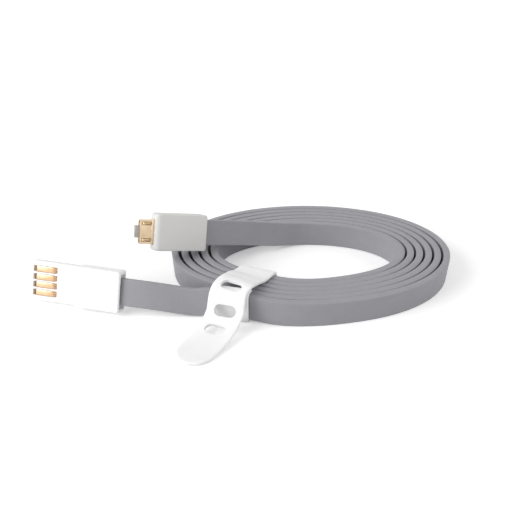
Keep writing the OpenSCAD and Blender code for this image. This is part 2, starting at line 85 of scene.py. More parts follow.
class RibbonSizes(bpy.types.PropertyGroup):
    width: length("Width", 7.6, "Width of the flat cable, which stands upright")
    core_thickness: length("Thickness", 1.6, "Thickness that the coil's places are worked out with")
    jacket_thickness: length("Jacket", 2.12, "Thickness of the soft jacket, whose turns touch")
    edge_radius: length("Edge radius", 0.3, "Rounding of the ribbon's four long edges")
    core_ridge: length("Core ridge", 0.018, "How far each core shows through the jacket")
    tint: colour("Colour", (0.312, 0.310, 0.334), "Colour of the jacket")


class CoilSizes(bpy.types.PropertyGroup):
    half_length: length("Half length", 42.5, "Half length of the outermost turn")
    half_depth: length("Half depth", 28.5, "Half depth of the outermost turn")
    pitch_ends: length("Pitch at the ends", 2.8, "Step from turn to turn at the coil's two ends")
    pitch_front: length("Pitch in front", 2.15, "Step from turn to turn at the front")
    pitch_back: length("Pitch at the back", 2.25, "Step from turn to turn at the back")
    squeeze: length("Squeeze", 0.08, "How much the strap narrows that step")


class UsbASizes(bpy.types.PropertyGroup):
    housing_length: length("Housing length", 13.2, "Length of the housing")
    housing_width: length("Housing width", 11.6, "Width of the housing")
    housing_thickness: length("Housing thickness", 4.6, "Thickness of the housing")
    tongue_length: length("Tongue length", 14.0, "Length of the tongue in front of the housing")
    tongue_thickness: length("Tongue thickness", 2.3, "Thickness of the tongue")
    neck_width: length("Neck width", 9.0, "Width of the tongue inside the housing")
    tint: colour("Colour", (0.945, 0.945, 0.945), "Colour of the housing and the tongue")
    gilt: colour("Contacts", (0.87, 0.61, 0.39), "Colour of the gilt contacts")


class MicroUsbSizes(bpy.types.PropertyGroup):
    housing_length: length("Housing length", 16.0, "Length of the housing")
    housing_width: length("Housing width", 10.6, "Width of the housing")
    housing_thickness: length("Housing thickness", 4.8, "Thickness of the housing")
    nose_radius: length("Nose radius", 1.6, "Rounding of the housing's front end")
    shell_width: length("Shell width", 6.85, "Width of the metal shell")
    shell_thickness: length("Shell thickness", 1.8, "Thickness of the metal shell")
    tint: colour("Colour", (0.70, 0.695, 0.68), "Colour of the housing")
    gilt: colour("Shell", (0.76, 0.60, 0.42), "Colour of the gilt shell")


class StrapSizes(bpy.types.PropertyGroup):
    width: length("Width", 10.4, "Width of the strap")
    thickness: length("Thickness", 1.0, "Thickness of the strap")
    slot_length: length("Slot length", 6.2, "Length of a fastening slot, across the strap")
    slot_width: length("Slot width", 3.2, "Width of a fastening slot, along the strap")
    gap: length("Gap", 0.15, "Clearance between the strap and the cable")
    tint: colour("Colour", (0.945, 0.945, 0.945), "Colour of the strap")


class StageLevels(bpy.types.PropertyGroup):
    floor: colour("Floor", (0.92, 0.92, 0.92), "Colour of the floor")
    sky: amount("Sky", 0.50, "Strength of the even light from all round")
    left_lamp: amount("Left lamp", 5.1, "Power of the lamp on the left", "POWER")
    right_lamp: amount("Right lamp", 1.75, "Power of the lamp on the right", "POWER")
    top_lamp: amount("Top lamp", 0.05, "Power of the lamp above", "POWER")
    floor_glow: amount("Floor glow", 0.26, "Light added to the floor as the camera sees it")


class CableSettings(bpy.types.PropertyGroup):
    ribbon: group("Ribbon", RibbonSizes, "Sizes of the flat cable")
    coil: group("Coil", CoilSizes, "Sizes of the coil")
    usb_a: group("USB-A plug", UsbASizes, "Sizes of the USB-A plug")
    micro: group("Micro-USB plug", MicroUsbSizes, "Sizes of the micro-USB plug")
    strap: group("Strap", StrapSizes, "Sizes of the strap")
    stage: group("Stage", StageLevels, "Floor and light")


def settings():
    return bpy.context.scene.charging_cable


# ------ lines and frames
def turned(v, degrees):
    return Matrix.Rotation(radians(degrees), 3, "Z") @ v


def smooth_line(points, steps):
    """Points on one smooth curve through the given ones, with steps parts between two of them."""
    count = len(points)
    gaps = [max((points[i + 1] - points[i]).length, 1e-9) for i in range(count - 1)]
    slopes = [(points[i + 1] - points[i]) / gaps[i] for i in range(count - 1)]
    tangents = [slopes[0]]
    for i in range(1, count - 1):
        tangents.append((slopes[i - 1] * gaps[i] + slopes[i] * gaps[i - 1]) / (gaps[i - 1] + gaps[i]))
    tangents.append(slopes[-1])
    line = []
    for i in range(count - 1):
        for k in range(steps):
            t = k / steps
            line.append(
                points[i] * (2 * t**3 - 3 * t**2 + 1)
                + tangents[i] * gaps[i] * (t**3 - 2 * t**2 + t)
                + points[i + 1] * (3 * t**2 - 2 * t**3)
                + tangents[i + 1] * gaps[i] * (t**3 - t**2)
            )
    return line + [points[-1].copy()]


def smooth_turning(places, degrees, steps):
    """A smooth line, and the degrees at its points, which run along as a fourth coordinate."""
    line = smooth_line([Vector((*p, angle * MM)) for p, angle in zip(places, degrees)], steps)
    return [p.to_3d() for p in line], [p[3] / MM for p in line]


def direction(line, i):
    return (line[min(i + 1, len(line) - 1)] - line[max(i - 1, 0)]).normalized()


# ------ the coil's route, as in the CAD source
START_ANGLE = -105.0
END_ANGLE = 5 * 360 + 75.0
RING_STEP = 15.0
END_RUN = 4.0 * MM
PASSES = 6
STRAP_TURN = 22.0
STRAP_ALONG_LEAD = 12.0 * MM
STRAP_SIDE_RUN = 1.8 * MM
LIFT_RUN = 10.0 * MM
SQUEEZE_RUN = 14.0 * MM
FLARE_RUN = 22.0 * MM
SPREAD = 1.2 * MM
SPREAD_START = 4.5 * MM
SPREAD_RISE = 9.0 * MM
SPREAD_FALL = 24.0 * MM
FLARE = 5.0
CORNER = 0.45 * MM
LEAVE_TURN = 3.0
USB_A_LEAN = 22.0
MICRO_LEAN = 18.0
MICRO_CLEARANCE = 2.7 * MM
RIBBON_INSIDE = 2.8 * MM

# How the soft jacket settles: down at the strap, to the left, inwards with each turn, and into the spread
SETTLE_DROP = 0.75 * MM
SETTLE_LEFT = -0.6 * MM
SETTLE_STEP = 0.12 * MM
SETTLE_SPREAD = 0.25
SETTLE_LEAN = 0.6

# Free leads, as (forward, to the left, share of the climb) from the coil's last ring in millimetres,
# and their lean in degrees
USB_A_LEAD = [
    (4, -0.7, 0.05), (8, -1.05, 0.12), (12, -1.35, 0.15), (14.5, -1.35, 0.05), (18, -0.9, -0.45),
    (22, -0.35, -0.35), (26.5, 0.5, 0.2), (31, 1.15, 0.75), (36, 1.35, 1), (41.1, 0.95, 1),
]
USB_A_LEANS = [4, 9, 14, 17, 20, 21, 22, 22, 22, 22]
MICRO_LEAD = [
    (3.5, 0.3, 0.01), (7, 1.3, 0.04), (10.5, 3.2, 0.1), (14, 5.7, 0.21), (18, 9, 0.38),
    (22, 12.3, 0.55), (26, 15.4, 0.7), (30, 18.4, 0.84), (35.3, 21.7, 1),
]
MICRO_LEANS = [5, 6, 8, 10, 13, 15, 17, 18, 18]


def turns_at(angle):
    return (angle - START_ANGLE) / 360


def spiral_plan(angle):
    coil = settings().coil
    k = turns_at(angle)
    a = radians(angle)
    depth_step = (coil.pitch_front + coil.pitch_back) / 2
    return Vector((
        (coil.half_length - coil.pitch_ends * k) * cos(a),
        (coil.half_depth - depth_step * k) * sin(a) + (coil.pitch_front - coil.pitch_back) / 2 * k,
        0,
    ))


def spiral_direction(angle):
    return (spiral_plan(angle + 0.5) - spiral_plan(angle - 0.5)).normalized()


def strap_axes():
    """Origin of the strap's places and its two level directions: into the coil and along the cable."""
    along = spiral_direction(START_ANGLE)
    inward = turned(along, 90)
    outside = inward * settings().ribbon.core_thickness / 2
    return spiral_plan(START_ANGLE) - along * STRAP_ALONG_LEAD - outside, inward, along


def strap_nearness(p, run):
    """1 beside the strap, falling to 0 over a run along the turns."""
    if p.y > 0:
        return 0.0
    origin, _, along = strap_axes()
    flat = settings().strap.width / 2 + STRAP_SIDE_RUN
    k = (abs((p - origin).dot(turned(along, -STRAP_TURN))) - flat) / run
    return (1 + cos(pi * min(max(k, 0), 1))) / 2


def lean_at(p):
    return FLARE * (1 - strap_nearness(p, FLARE_RUN))


def strap_lift():
    return settings().strap.thickness + settings().strap.gap


def stood(p):
    """The place on the table raised to the middle of the ribbon that stands there."""
    ribbon = settings().ribbon
    lean = radians(lean_at(p))
    edge = ribbon.width / 2 * cos(lean) + (ribbon.core_thickness - CORNER) / 2 * sin(lean)
    return p + UP * (edge + strap_lift() * strap_nearness(p, LIFT_RUN))


def spread_at(p):
    """How far the turns spread towards the front, to the right of the strap."""
    origin, _, along = strap_axes()
    s = (p - origin).dot(along) - SPREAD_START
    k = s / SPREAD_RISE - 1 if s < SPREAD_RISE else (s - SPREAD_RISE) / SPREAD_FALL
    if p.y > 0 or abs(k) >= 1:
        return 0.0
    return SPREAD * (1 + cos(pi * k)) / 2


def drawn(p, turns):
    """The place moved to where the strap draws it in or lets it spread; turns counts from the outermost."""
    _, inward, _ = strap_axes()
    return p - inward * (settings().coil.squeeze * turns * strap_nearness(p, SQUEEZE_RUN) + spread_at(p))


def coil_place(angle):
    return stood(drawn(spiral_plan(angle), turns_at(angle)))


def lead_places(start, forward, points, climb):
    left = turned(forward, 90)
    return [start + forward * x * MM + left * y * MM + UP * climb * share for x, y, share in points]


def settled(p, turns, share):
    """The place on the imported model's route, moved to where the soft jacket settles.

    The share, 0 to 1, fades the level part of the move, which ends before the plugs.
    """
    ribbon = settings().ribbon
    _, inward, _ = strap_axes()
    swell = (ribbon.jacket_thickness - ribbon.core_thickness) / 2
    centre = Vector((-p.x, -p.y, 0)).normalized() * swell
    aside = Vector((SETTLE_LEFT + SETTLE_STEP * turns, 0, 0))
    back = inward * spread_at(p) * SETTLE_SPREAD
    return p + (centre + aside + back) * share - UP * SETTLE_DROP * strap_nearness(p, LIFT_RUN)


def ribbon_route():
    """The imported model's route along the ribbon's middle, from the USB-A plug to the micro-USB plug.

    Four lists of one length: places, leans to the right in degrees, turns from the outermost and shares.
    """
    start_forward = -spiral_direction(START_ANGLE)
    end_forward = turned(spiral_direction(END_ANGLE), LEAVE_TURN)
    start = stood(drawn(spiral_plan(START_ANGLE) + start_forward * END_RUN, 0))
    end = stood(spiral_plan(END_ANGLE) + end_forward * END_RUN)
    steps = round((END_ANGLE - START_ANGLE) / RING_STEP)
    turns = [coil_place(START_ANGLE + RING_STEP * i) for i in range(steps + 1)]
    usb_a, ribbon = settings().usb_a, settings().ribbon
    lean = radians(USB_A_LEAN)
    rest_height = usb_a.housing_width / 2 * cos(lean) + usb_a.housing_thickness / 2 * sin(lean)
    lead_a = lead_places(start, start_forward, USB_A_LEAD, rest_height - start.z)
    lead_m = lead_places(end, end_forward, MICRO_LEAD, ribbon.width + MICRO_CLEARANCE)
    coil = [start] + turns + [end]
    leans = [-x for x in USB_A_LEANS[::-1]] + [lean_at(p) * SETTLE_LEAN for p in coil] + MICRO_LEANS
    counts = [RING_STEP * i / 360 for i in range(steps + 1)]
    counts = [0] * (len(lead_a) + 1) + counts + counts[-1:] * (len(lead_m) + 1)
    shares = fading(len(lead_a))[::-1] + [1] * len(coil) + fading(len(lead_m))
    return lead_a[::-1] + coil + lead_m, leans, counts, shares


def fading(count):
    """Shares that fall from 1 to 0 and stay 0 at the last two of the count."""
    return [max(0, 1 - (i + 1) / (count - 1)) for i in range(count)]


def plug_pose(rear, towards, lean):
    """Matrix that puts a plug, drawn with its nose along +X, at the end of its lead."""
    level = hypot(towards.x, towards.y)
    turn = Matrix.Rotation(atan2(towards.y, towards.x), 4, "Z")
    pitch = Matrix.Rotation(-atan2(towards.z, level), 4, "Y")
    roll = Matrix.Rotation(radians(lean), 4, "X")
    return Matrix.Translation(rear) @ turn @ pitch @ roll @ Matrix.Translation((-RIBBON_INSIDE, 0, 0))


def plug_poses():
    places = ribbon_route()[0]
    usb_a = plug_pose(places[0], (places[0] - places[1]).normalized(), USB_A_LEAN)
    micro = plug_pose(places[-1], (places[-1] - places[-2]).normalized(), MICRO_LEAN)
    return usb_a, micro


# ------ mesh helpers
SHARP_ABOVE = 35
SOFT_SHARP_ABOVE = 50
BEVEL_ABOVE = 30
BEVEL_STEPS = 2
CORNER_STEPS = 6
OVERREACH = 1 * MM


def mesh_from(name, bm):
    mesh = bpy.data.meshes.new(name)
    bm.to_mesh(mesh)
    bm.free()
    return mesh


def add_object(name, data):
    item = bpy.data.objects.new(name, data)
    bpy.context.scene.collection.objects.link(item)
    return item


def sweep(rings):
    """Closed skin over rings of points, whose vertices come in the order of the rings."""
    bm = bmesh.new()
    rows = [[bm.verts.new(p) for p in ring] for ring in rings]
    count = len(rows[0])
    for a, b in zip(rows, rows[1:]):
        for i in range(count):
            j = (i + 1) % count
            bm.faces.new((a[i], a[j], b[j], b[i]))
    bm.faces.new(rows[0][::-1])
    bm.faces.new(rows[-1])
    return bm


def add_piece(name, bm, material, sharp_above=SHARP_ABOVE):
    bmesh.ops.recalc_face_normals(bm, faces=bm.faces)
    piece = add_object(name, mesh_from(name, bm))
    finish_mesh(piece, material, sharp_above)
    return piece


def finish_mesh(piece, material, sharp_above=SHARP_ABOVE):
    mesh = piece.data
    mesh.materials.clear()
    mesh.materials.append(material)
    mesh.polygons.foreach_set("material_index", [0] * len(mesh.polygons))
    mesh.polygons.foreach_set("use_smooth", [True] * len(mesh.polygons))
    mesh.set_sharp_from_angle(angle=radians(sharp_above))
    mesh.update()


def cut(piece, cutter_bm, matrix=None):
    """Cuts the closed shapes of cutter_bm out of the piece, for good."""
    bmesh.ops.recalc_face_normals(cutter_bm, faces=cutter_bm.faces)
    mesh = mesh_from("cutter", cutter_bm)
    if matrix:
        mesh.transform(matrix)
    cutter = add_object("cutter", mesh)
    modifier = piece.modifiers.new("cut", "BOOLEAN")
    modifier.operation = "DIFFERENCE"
    modifier.solver = "EXACT"
    modifier.use_self = True
    modifier.object = cutter
    bpy.context.view_layer.update()
    evaluated = piece.evaluated_get(bpy.context.evaluated_depsgraph_get())
    result = bpy.data.meshes.new_from_object(evaluated)
    old = piece.data
    piece.modifiers.clear()
    piece.data = result
    result.name = old.name
    bpy.data.meshes.remove(old)
    bpy.data.objects.remove(cutter)
    bpy.data.meshes.remove(mesh)


def soften_edges(bm, width):
    """Rounds every edge whose two faces meet at a clear angle."""
    limit = radians(BEVEL_ABOVE)
    edges = [e for e in bm.edges if len(e.link_faces) == 2 and e.calc_face_angle(0) > limit]
    bmesh.ops.bevel(
        bm, geom=edges, offset=width, offset_type="OFFSET", segments=BEVEL_STEPS, profile=0.5,
        affect="EDGES", clamp_overlap=True,
    )


def rounded_rectangle(x0, x1, half_width, radius):
    """Points (x, z) round a rectangle with rounded corners."""
    points = []
    for cx, cz, start in (
        (x1 - radius, half_width - radius, 0), (x0 + radius, half_width - radius, 90),
        (x0 + radius, -half_width + radius, 180), (x1 - radius, -half_width + radius, 270),
    ):
        for k in range(CORNER_STEPS + 1):
            a = radians(start + 90 * k / CORNER_STEPS)
            points.append((cx + radius * cos(a), cz + radius * sin(a)))
    return points


def on_table(ring):
    """The ring, raised where it would go below the table."""
    low = min(p.z for p in ring)
    return [p - UP * min(low, 0) for p in ring]


def about(middle, half):
    return middle - half, middle + half


def cut_box(piece, along, through, across, matrix=None):
    """Cuts a box out of the piece, which reaches from the first to the second value of each pair."""
    pairs = (along, through, across)
    middle = Matrix.Translation([(a + b) / 2 for a, b in pairs])
    bm = bmesh.new()
    bmesh.ops.create_cube(bm, size=1, matrix=middle @ Matrix.Diagonal([b - a for a, b in pairs] + [1]))
    cut(piece, bm, matrix)


# ------ finishes
# Gilt of the latch springs, darker than the shell's: painted shade of the windows they sit in
LATCH_GILT_PAINTED_SHADE = (0.60, 0.45, 0.28)
NYLON_GREY = (0.40, 0.375, 0.35)
GROMMET_GREY = (0.58, 0.58, 0.60)


def set_inputs(node, **values):
    """Gives the node's inputs their values. Their names have underscores here for spaces."""
    for label, value in values.items():
        node.inputs[label.replace("_", " ")].default_value = value
    return node


def add_node(tree, kind, **values):
    return set_inputs(tree.nodes.new("ShaderNode" + kind), **values)


class Nodes:
    """Builds one procedural finish: colour, roughness and bump from noise over the piece's own places."""

    def __init__(self, name, base, roughness, metallic=0.0):
        self.material = bpy.data.materials.new(name)
        self.material.use_nodes = True
        self.tree = self.material.node_tree
        self.link = self.tree.links.new
        self.shader = self.tree.nodes["Principled BSDF"]
        set_inputs(self.shader, Base_Color=(*base, 1), Roughness=roughness, Metallic=metallic)
        self.base = tuple(base)
        self.roughness = roughness
        self.places = add_node(self.tree, "TexCoord")
        self.height = None

    def noise(self, grain, detail, stretch=(1, 1, 1), coordinate="Object"):
        """Noise whose spots are about grain millimetres wide, stretched along the axes."""
        mapping = add_node(self.tree, "Mapping", Scale=[1 / s for s in stretch])
        texture = add_node(self.tree, "TexNoise", Scale=1 / (grain * MM), Detail=detail)
        self.link(self.places.outputs[coordinate], mapping.inputs["Vector"])
        self.link(mapping.outputs["Vector"], texture.inputs["Vector"])
        return texture.outputs["Fac"]

    def spread(self, value, low, high, start=0.35, end=0.65):
        """The value brought from start..end to low..high."""
        node = add_node(self.tree, "MapRange", From_Min=start, From_Max=end, To_Min=low, To_Max=high)
        self.link(value, node.inputs["Value"])
        return node.outputs["Result"]

    def vary_colour(self, grain, detail, shade, start, end):
        """Mixes the colour so far with a shade of it where the noise is high."""
        mix = add_node(self.tree, "Mix")
        mix.data_type = "RGBA"
        sockets = [s for s in mix.inputs if s.type == "RGBA"]
        socket = self.shader.inputs["Base Color"]
        if socket.is_linked:
            self.link(socket.links[0].from_socket, sockets[0])
        else:
            sockets[0].default_value = (*self.base, 1)
        sockets[1].default_value = (*[min(1, c * s) for c, s in zip(self.base, shade)], 1)
        self.link(self.spread(self.noise(grain, detail), 0, 1, start, end), mix.inputs["Factor"])
        self.link([s for s in mix.outputs if s.type == "RGBA"][0], socket)

    def vary_roughness(self, grain, detail, by, *mapping):
        varied = self.spread(self.noise(grain, detail, *mapping), self.roughness - by, self.roughness + by)
        self.link(varied, self.shader.inputs["Roughness"])

    def raise_surface(self, grain, detail, depth, *mapping):
        """Adds a bump of that depth in millimetres."""
        bump = add_node(self.tree, "Bump", Strength=1.0, Distance=depth * MM)
        self.link(self.noise(grain, detail, *mapping), bump.inputs["Height"])
        if self.height:
            self.link(self.height, bump.inputs["Normal"])
        self.height = bump.outputs["Normal"]
        self.link(self.height, self.shader.inputs["Normal"])


def kept(build):
    """Each finish is built once. Its name is the first argument."""
    def find(name, *details):
        return bpy.data.materials.get(name) or build(name, *details)
    return find


@kept
def jacket_finish(name):
    n = Nodes(name, settings().ribbon.tint, 0.55)
    n.vary_colour(6, 4, (0.93, 0.93, 0.93), 0.3, 0.7)
    n.vary_colour(0.25, 2, (1.07, 1.07, 1.06), 0.45, 0.75)
    n.vary_roughness(1.5, 4, 0.07)
    n.raise_surface(0.16, 3, 0.012)
    n.raise_surface(0.3, 2, 0.02, (60, 1, 1), "UV")
    set_inputs(n.shader, Specular_IOR_Level=0.42, Sheen_Weight=0.08, Sheen_Roughness=0.5)
    return n.material


@kept
def grommet_finish(name):
    n = Nodes(name, GROMMET_GREY, 0.6)
    n.vary_colour(1.5, 4, (0.9, 0.9, 0.9), 0.3, 0.7)
    n.vary_roughness(0.8, 3, 0.07)
    n.raise_surface(0.15, 3, 0.012)
    return n.material


@kept
def moulded_finish(name, tint, roughness):
    n = Nodes(name, tint, roughness)
    n.vary_colour(5, 3, (0.975, 0.975, 0.97), 0.3, 0.7)
    n.vary_roughness(0.8, 3, 0.05)
    n.raise_surface(0.12, 2, 0.006)
    n.raise_surface(2.5, 2, 0.01)
    set_inputs(n.shader, Specular_IOR_Level=0.45)
    return n.material


@kept
def silicone_finish(name):
    n = Nodes(name, settings().strap.tint, 0.48)
    n.vary_colour(4, 4, (0.975, 0.975, 0.975), 0.3, 0.7)
    n.vary_roughness(1, 3, 0.06)
    n.raise_surface(0.14, 3, 0.008)
    set_inputs(n.shader, Specular_IOR_Level=0.4, Subsurface_Weight=0.4,
               Subsurface_Radius=(1.0, 1.0, 1.0), Subsurface_Scale=2 * MM)
    return n.material


@kept
def gilt_finish(name, tint, roughness, stretch):
    n = Nodes(name, tint, roughness, 1.0)
    n.vary_colour(1.2, 4, (0.93, 0.88, 0.80), 0.35, 0.7)
    n.vary_roughness(0.12, 3, 0.09, stretch)
    n.raise_surface(0.12, 3, 0.004, stretch)
    return n.material


@kept
def dull_metal_finish(name, tint, roughness, grain):
    n = Nodes(name, tint, roughness, 1.0)
    n.vary_colour(grain * 4, 3, (0.85, 0.85, 0.86), 0.35, 0.7)
    n.vary_roughness(grain, 3, 0.1)
    n.raise_surface(grain * 2, 3, 0.01)
    return n.material


@kept
def nylon_finish(name, tint, roughness):
    n = Nodes(name, tint, roughness)
    n.vary_colour(0.5, 4, (1.18, 1.16, 1.14), 0.4, 0.75)
    n.vary_roughness(0.6, 3, 0.08)
    n.raise_surface(0.1, 3, 0.01)
    return n.material


# ------ stage and camera
IMAGE_SIDE = 530
FOCAL_PIXELS = 690
CAMERA_PITCH = 32.0
AIM_PIXELS = 5
AIM_RISE = atan(AIM_PIXELS / FOCAL_PIXELS)
CAMERA_DISTANCE = 212 * MM
AIM_POINT = Vector((-13.5, -0.65, 0)) * MM
GLOW_NEAR = 0.25
GLOW_FAR = 0.9
GLOW_GAIN = 0.45
FLOOR_HALF = 3.0
LAMP_AIM = Vector((-0.01, 0, 0))


class CABLE_OT_stage(bpy.types.Operator):
    """Camera, floor and soft studio light"""

    bl_idname = "cable.stage"
    bl_label = "Stage"

    def execute(self, context):
        self.add_camera(context)
        self.add_floor()
        self.add_lamps()
        self.light_sky(context)
        context.scene.view_settings.view_transform = "Standard"
        return {"FINISHED"}

    def add_camera(self, context):
        pitch = radians(CAMERA_PITCH)
        towards = Vector((0, cos(pitch), -sin(pitch)))
        data = bpy.data.cameras.new("camera")
        data.sensor_width = 36.0
        data.lens = data.sensor_width * FOCAL_PIXELS / IMAGE_SIDE
        data.clip_start = 0.01
        data.clip_end = 20
        camera = add_object("camera", data)
        camera.location = AIM_POINT - towards * CAMERA_DISTANCE
        camera.rotation_euler = (radians(90 - CAMERA_PITCH) + AIM_RISE, 0, 0)
        context.scene.camera = camera

    def add_floor(self):
        """A wide pale floor that looks white to the camera and keeps the object's soft shadow."""
        bm = bmesh.new()
        bmesh.ops.create_grid(bm, x_segments=8, y_segments=8, size=FLOOR_HALF)
        mesh = mesh_from("floor", bm)
        floor = add_object("floor", mesh)
        n = Nodes("floor_paper", settings().stage.floor, 0.9)
        set_inputs(n.shader, Specular_IOR_Level=0.0)
        glow_level = settings().stage.floor_glow
        path = add_node(n.tree, "LightPath")
        place = add_node(n.tree, "NewGeometry")
        reach = add_node(n.tree, "VectorMath")
        reach.operation = "LENGTH"
        level = add_node(n.tree, "MapRange", From_Min=GLOW_NEAR, From_Max=GLOW_FAR,
                         To_Min=glow_level, To_Max=glow_level + GLOW_GAIN)
        share = add_node(n.tree, "Math")
        share.operation = "MULTIPLY"
        glow = add_node(n.tree, "Emission")
        both = add_node(n.tree, "AddShader")
        for start, end in (
            (place.outputs["Position"], reach.inputs[0]), (reach.outputs["Value"], level.inputs["Value"]),
            (path.outputs["Is Camera Ray"], share.inputs[0]), (level.outputs["Result"], share.inputs[1]),
            (share.outputs[0], glow.inputs["Strength"]), (n.shader.outputs[0], both.inputs[0]),
            (glow.outputs[0], both.inputs[1]),
            (both.outputs[0], n.tree.nodes["Material Output"].inputs["Surface"]),
        ):
            n.link(start, end)
        mesh.materials.append(n.material)

    def add_lamps(self):
        levels = settings().stage
        # name, place and side in metres, power
        lamps = (
            ("lamp_left", (-0.67, -0.29, 0.42), 0.56, levels.left_lamp),
            ("lamp_right", (0.67, -0.03, 0.38), 0.56, levels.right_lamp),
            ("lamp_top", (-0.03, -0.05, 0.55), 0.5, levels.top_lamp),
        )
        for name, place, side, power in lamps:
            data = bpy.data.lights.new(name, "AREA")
            data.shape = "SQUARE"
            data.size = side
            data.energy = power
            lamp = add_object(name, data)
            lamp.location = place
            lamp.rotation_euler = (LAMP_AIM - Vector(place)).to_track_quat("-Z", "Y").to_euler()

    def light_sky(self, context):
        """Even light of the sky's strength, seen as plain white directly and in reflections."""
        world = context.scene.world or bpy.data.worlds.new("sky")
        context.scene.world = world
        world.use_nodes = True
        tree = world.node_tree
        tree.nodes.clear()
        path = add_node(tree, "LightPath")
        seen, seen_more = add_node(tree, "Math"), add_node(tree, "Math")
        seen.operation = seen_more.operation = "MAXIMUM"
        light = add_node(tree, "Background", Color=(1, 1, 1, 1), Strength=settings().stage.sky)
        white = add_node(tree, "Background", Color=(1, 1, 1, 1), Strength=1.0)
        mix = add_node(tree, "MixShader")
        output = add_node(tree, "OutputWorld")
        for start, end in (
            (path.outputs["Is Camera Ray"], seen.inputs[0]),
            (path.outputs["Is Glossy Ray"], seen.inputs[1]), (seen.outputs[0], seen_more.inputs[0]),
            (path.outputs["Is Transmission Ray"], seen_more.inputs[1]),
            (seen_more.outputs[0], mix.inputs["Fac"]), (light.outputs[0], mix.inputs[1]),
            (white.outputs[0], mix.inputs[2]), (mix.outputs[0], output.inputs["Surface"]),
        ):
            tree.links.new(start, end)


# ------ ribbon
CORE_STEP = 1.95 * MM
END_THIN = 0.22 * MM
FACE_STEPS = 16
EDGE_STEPS = 4
ROUTE_STEPS = 3
END_SWELL_RUN = RIBBON_INSIDE + 1.5 * MM


def ribbon_profile(thickness):
    """Points (out, up) round the flat cable: rounded edges and a faint ridge over each of the four cores."""
    ribbon = settings().ribbon
    radius, half_width, half_thick = ribbon.edge_radius, ribbon.width / 2, thickness / 2
    points = []
    for side in (1, -1):
        for k in range(FACE_STEPS + 1):
            u = side * (-(half_width - radius) + 2 * (half_width - radius) * k / FACE_STEPS)
            ridge = ribbon.core_ridge * (1 - cos(2 * pi * u / CORE_STEP)) / 2 - ribbon.core_ridge
            points.append((side * (half_thick + ridge), u))
        for k in range(1, EDGE_STEPS * 2):
            a = pi * k / (EDGE_STEPS * 2)
            swing = cos(a) * radius + (half_thick - radius) * ((k < EDGE_STEPS) - (k > EDGE_STEPS))
            points.append((side * swing, side * (half_width - radius + radius * sin(a))))
    return points


class CABLE_OT_ribbon(bpy.types.Operator):
    """The flat cable, from plug to plug in one piece"""

    bl_idname = "cable.ribbon"
    bl_label = "Ribbon"

    def execute(self, context):
        ribbon = settings().ribbon
        places, leans, counts, shares = ribbon_route()
        places = [settled(p, count, share) for p, count, share in zip(places, counts, shares)]
        line, leans = smooth_turning(places, leans, ROUTE_STEPS)
        runs = [0.0]
        for a, b in zip(line, line[1:]):
            runs.append(runs[-1] + (b - a).length)
        rings = []
        for i, (p, run) in enumerate(zip(line, runs)):
            end_share = min(1, min(run, runs[-1] - run) / END_SWELL_RUN)
            at_end = (p.x / settings().coil.half_length) ** 2
            thinner = END_THIN * min(1, at_end) + settings().coil.squeeze * strap_nearness(p, SQUEEZE_RUN)
            swell = ribbon.jacket_thickness - ribbon.core_thickness - thinner
            thickness = ribbon.core_thickness + swell * end_share
            ahead = direction(line, i)
            up = (UP - ahead * ahead.z).normalized()
            out = ahead.cross(up)
            lean = radians(leans[i])
            up, out = up * cos(lean) + out * sin(lean), out * cos(lean) - up * sin(lean)
            rings.append(on_table([p + out * x + up * z for x, z in ribbon_profile(thickness)]))
        bm = sweep(rings)
        self.unwrap(bm, runs)
        piece = add_piece("ribbon_cable", bm, jacket_finish("grey_jacket"), SOFT_SHARP_ABOVE)
        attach(piece, "cable")
        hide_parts("ribbon_coil", "ribbon_lead_usb_a", "ribbon_lead_micro_usb")
        context.scene["ribbon_line"] = [x for p in line for x in p]
        return {"FINISHED"}

    def unwrap(self, bm, runs):
        """Lays the jacket out flat: u runs along the cable and v round it, in metres."""
        layer = bm.loops.layers.uv.new("jacket")
        verts = list(bm.verts)
        count = len(verts) // len(runs)
        place, girth = {}, 0.0
        for n, vert in enumerate(verts):
            girth = girth + (vert.co - verts[n - 1].co).length if n % count else 0.0
            place[vert] = (runs[n // count], girth)
        for face in bm.faces:
            for loop in face.loops:
                loop[layer].uv = place[loop.vert]


# ------ plug housings
HOUSING_CORNER = 0.7 * MM
HOUSING_WALL = 0.9 * MM
HOUSING_FILLET = 0.32 * MM
PARTING_GAP = 0.012 * MM
PARTING_CHAMFER = 0.06 * MM
OPENING_GAP = 0.1 * MM
GROMMET_HOLE = 5 * MM
SOFT_EDGE = 0.05 * MM
SPRING_EDGE = 0.03 * MM
TONGUE_EDGE = 0.1 * MM
ARC_STEPS = 6


def arc_inset(y, half_thick, radius):
    """How far an edge rounded by the radius draws in at the distance y from the parting plane."""
    rise = max(0, y - half_thick + radius)
    return radius - sqrt(max(0, radius**2 - rise**2))


def housing_half(name, sizes, side, nose_radius, openings, material):
    """One half of a plug's housing: side is 1 for the front half and -1 for the back half.

    Its front end is rounded by the nose radius. The openings, rear and front, are (width, thickness).
    """
    long, half_width, half_thick = sizes.housing_length, sizes.housing_width / 2, sizes.housing_thickness / 2
    heights = {PARTING_GAP + PARTING_CHAMFER}
    for radius in (HOUSING_FILLET, nose_radius):
        for k in range(ARC_STEPS + 1):
            heights.add(half_thick - radius * (1 - sin(pi / 2 * k / ARC_STEPS)))
    levels = [(PARTING_GAP, PARTING_CHAMFER, PARTING_CHAMFER)]
    for y in sorted(heights):
        levels.append((y, arc_inset(y, half_thick, HOUSING_FILLET), arc_inset(y, half_thick, nose_radius)))
    rings = []
    for y, inset, nose in levels:
        outline = rounded_rectangle(inset, long - nose, half_width - inset, HOUSING_CORNER - inset)
        rings.append([(x, side * y, z) for x, z in outline])
    piece = add_piece(name, sweep(rings), material)
    wall = HOUSING_WALL
    cut_box(piece, (wall, long - wall), about(0, half_thick - wall), about(0, half_width - wall))
    for along, (width, thickness) in zip(((-OVERREACH, long / 2), (long / 2, long + OVERREACH)), openings):
        cut_box(piece, along, about(0, thickness / 2), about(0, width / 2))
    return piece


